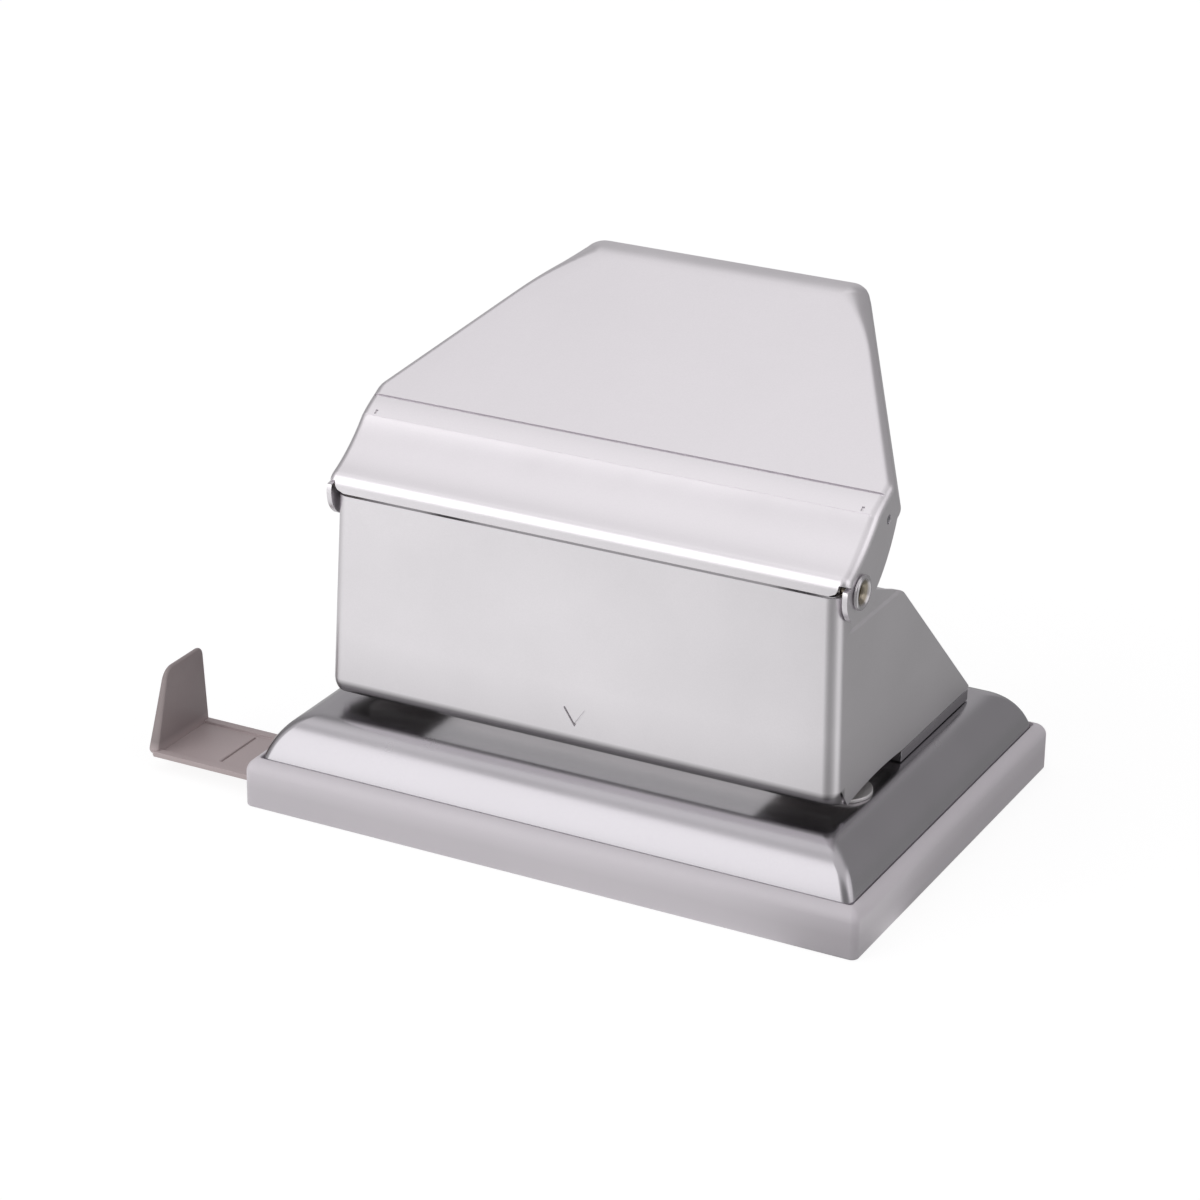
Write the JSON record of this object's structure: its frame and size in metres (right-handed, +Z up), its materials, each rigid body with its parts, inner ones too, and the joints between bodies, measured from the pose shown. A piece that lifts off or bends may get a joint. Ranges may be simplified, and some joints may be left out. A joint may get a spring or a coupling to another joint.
{
  "type": "two-hole punch",
  "caption": "Desk punch that cuts a pair of filing holes: sprung steel lever and housing on a base plate, lift-off chip tray and a sliding paper stop.",
  "frame": {"origin": "middle of the flat underside of the chip tray, on the surface it stands on", "axes": "+X to the user's right along the paper's edge, +Y away from the user, +Z up"},
  "size_m": [0.168, 0.1, 0.1086],
  "materials": {
    "satin_steel": "satin nickel plate over fine brushing",
    "base_steel": "satin nickel plate, a little brighter in reflection",
    "frame_steel": "plain zinc plate",
    "rivet_steel": "zinc plate",
    "tool_steel": "ground and hardened, lightly oiled",
    "spring_steel": "drawn wire and strip",
    "washer_steel": "dull",
    "bush_brass": "turned",
    "pivot_brass": "nickel plated, brassy inside",
    "tray_plastic": "milky translucent grey, satin",
    "stop_plastic": "taupe grey, satin"
  },
  "bodies": {
    "tray": {"chip_tray": "tray_plastic", "rail_spring": "spring_steel"},
    "stop": {"paper_stop": "stop_plastic"},
    "punch": {"base_plate": "base_steel", "die_plate": "frame_steel", "die_rivets": "rivet_steel", "throat_spacer": "base_steel", "stripper_plate": "frame_steel", "frame_rivets": "rivet_steel", "guide_bridge": "frame_steel", "bridge_rivets": "rivet_steel", "pin_bush_left": "bush_brass", "pin_bush_right": "bush_brass", "return_spring_left": "spring_steel", "return_spring_right": "spring_steel", "housing_shell": "satin_steel", "rear_cover": "satin_steel", "pivot_rivet_left": "pivot_brass", "pivot_rivet_right": "pivot_brass", "pivot_washer_left": "washer_steel", "pivot_washer_right": "washer_steel"},
    "lever": {"lever_handle": "satin_steel", "pressure_rod": "tool_steel"},
    "pin_left": {"punch_pin_left": "tool_steel", "pin_clip_left": "spring_steel", "spring_cap_left": "rivet_steel"},
    "pin_right": {"punch_pin_right": "tool_steel", "pin_clip_right": "spring_steel", "spring_cap_right": "rivet_steel"}
  },
  "joints": [
    {"name": "tray_lift", "type": "slide", "parent": "tray", "child": "punch", "axis": [0, 0, 1], "range_m": [0, 0.025]},
    {"name": "stop_slide", "type": "slide", "parent": "tray", "child": "stop", "axis": [1, 0, 0], "range_m": [-0.0535, 0.025]},
    {"name": "lever_hinge", "type": "hinge", "parent": "punch", "child": "lever", "pos_m": [0, -0.0282, 0.0673], "axis": [-1, 0, 0], "range_deg": [0, 38], "stiffness_Nm_per_rad": 0.57, "springref_deg": -18.91},
    {"name": "pin_slide_left", "type": "slide", "parent": "punch", "child": "pin_left", "axis": [0, 0, -1], "range_m": [0, 0.0101], "deforming": ["return_spring_left"]},
    {"name": "pin_slide_right", "type": "slide", "parent": "punch", "child": "pin_right", "axis": [0, 0, -1], "range_m": [0, 0.0101], "deforming": ["return_spring_right"]}
  ],
  "couplings": [
    {"joint": "pin_slide_left", "follows": "lever_hinge", "m_per_rad": 0.0151},
    {"joint": "pin_slide_right", "follows": "lever_hinge", "m_per_rad": 0.0151}
  ]
}
